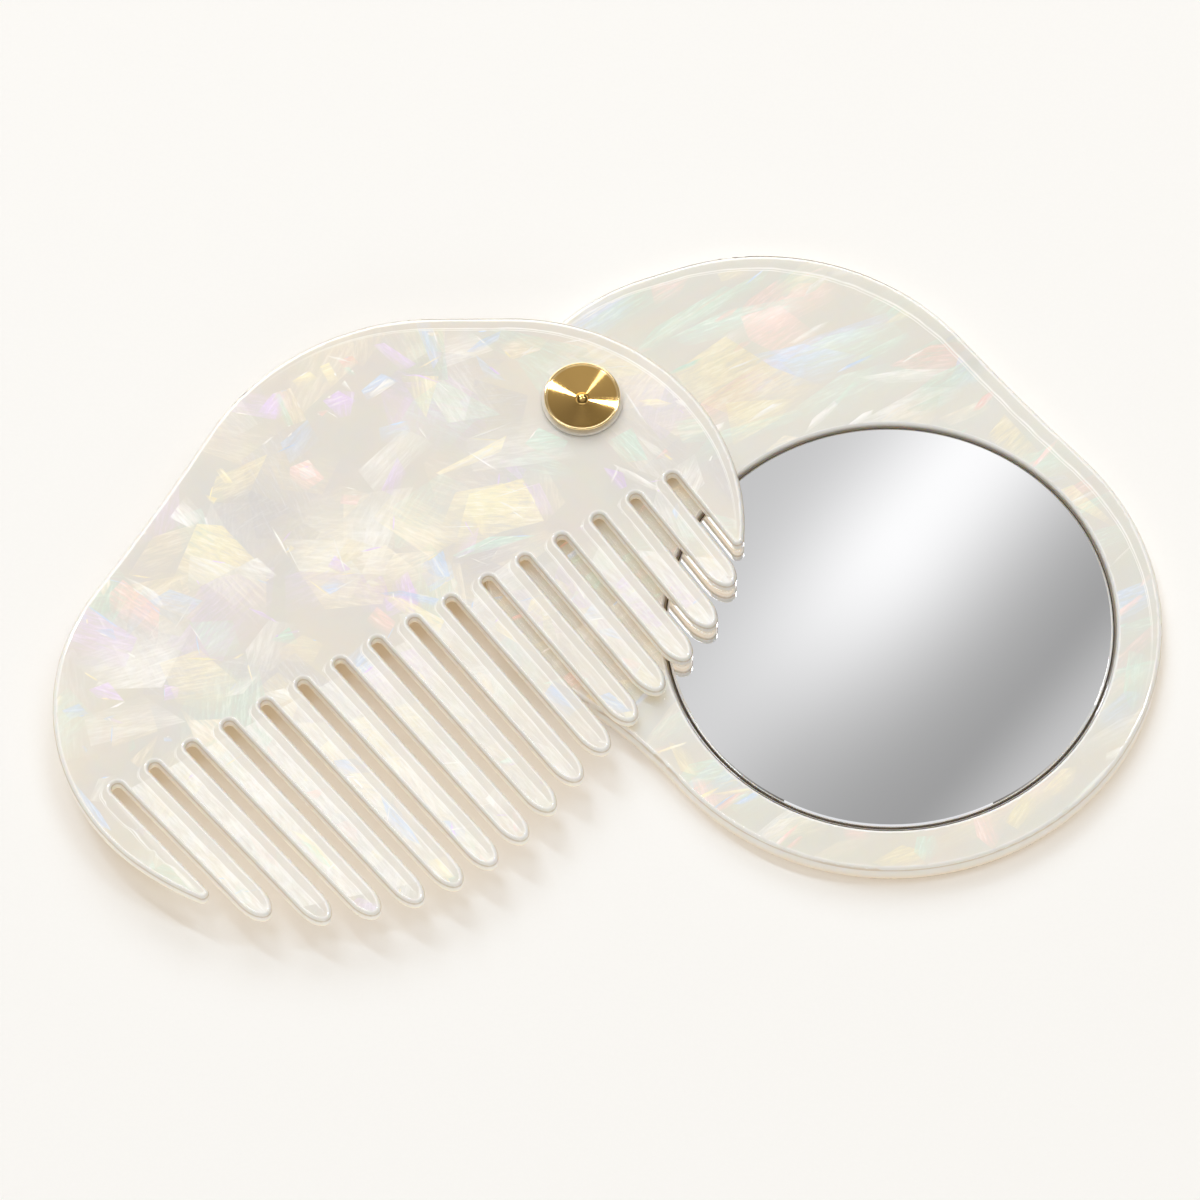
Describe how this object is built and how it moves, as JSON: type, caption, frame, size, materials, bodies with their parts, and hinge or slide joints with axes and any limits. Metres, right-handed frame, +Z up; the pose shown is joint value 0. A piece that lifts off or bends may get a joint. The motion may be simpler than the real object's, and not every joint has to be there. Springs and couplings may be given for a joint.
{
  "type": "pocket mirror comb",
  "caption": "Folding pocket comb and mirror: a pearl acetate comb leaf turns on a gold dished pivot over a pearl acetate leaf that holds a round mirror.",
  "frame": {"origin": "below the middle of the mirror, on the underside of the mirror leaf that the part lies on", "axes": "+Z up out of the mirror's face, +X to the right and +Y away from someone who looks at the opened part with the comb leaf on the left"},
  "size_m": [0.1429, 0.0978, 0.0065],
  "materials": {
    "mirror_leaf_acetate": "polished pearl acetate with pastel flakes",
    "comb_leaf_acetate": "polished pearl acetate with pastel flakes",
    "silvered_glass": "mirror with a ground bevel",
    "adhesive_foam": "foam tape",
    "gold_metal": "polished gold with turning marks in the dish",
    "clear_nylon": "clear nylon",
    "spring_steel": "spring steel"
  },
  "bodies": {
    "mirror_side": {"mirror_leaf": "mirror_leaf_acetate", "mirror_glass": "silvered_glass", "mirror_adhesive_pad": "adhesive_foam", "pivot_post": "gold_metal", "pivot_screw": "gold_metal", "head_washer": "clear_nylon", "leaf_washer": "clear_nylon", "rear_washer": "spring_steel", "disc_spring": "spring_steel"},
    "comb_side": {"comb_leaf": "comb_leaf_acetate"}
  },
  "joints": [
    {"name": "comb_pivot", "type": "hinge", "parent": "mirror_side", "child": "comb_side", "pos_m": [-0.03968, 0.03156, 0], "axis": [0, 0, 1], "continuous": true}
  ]
}
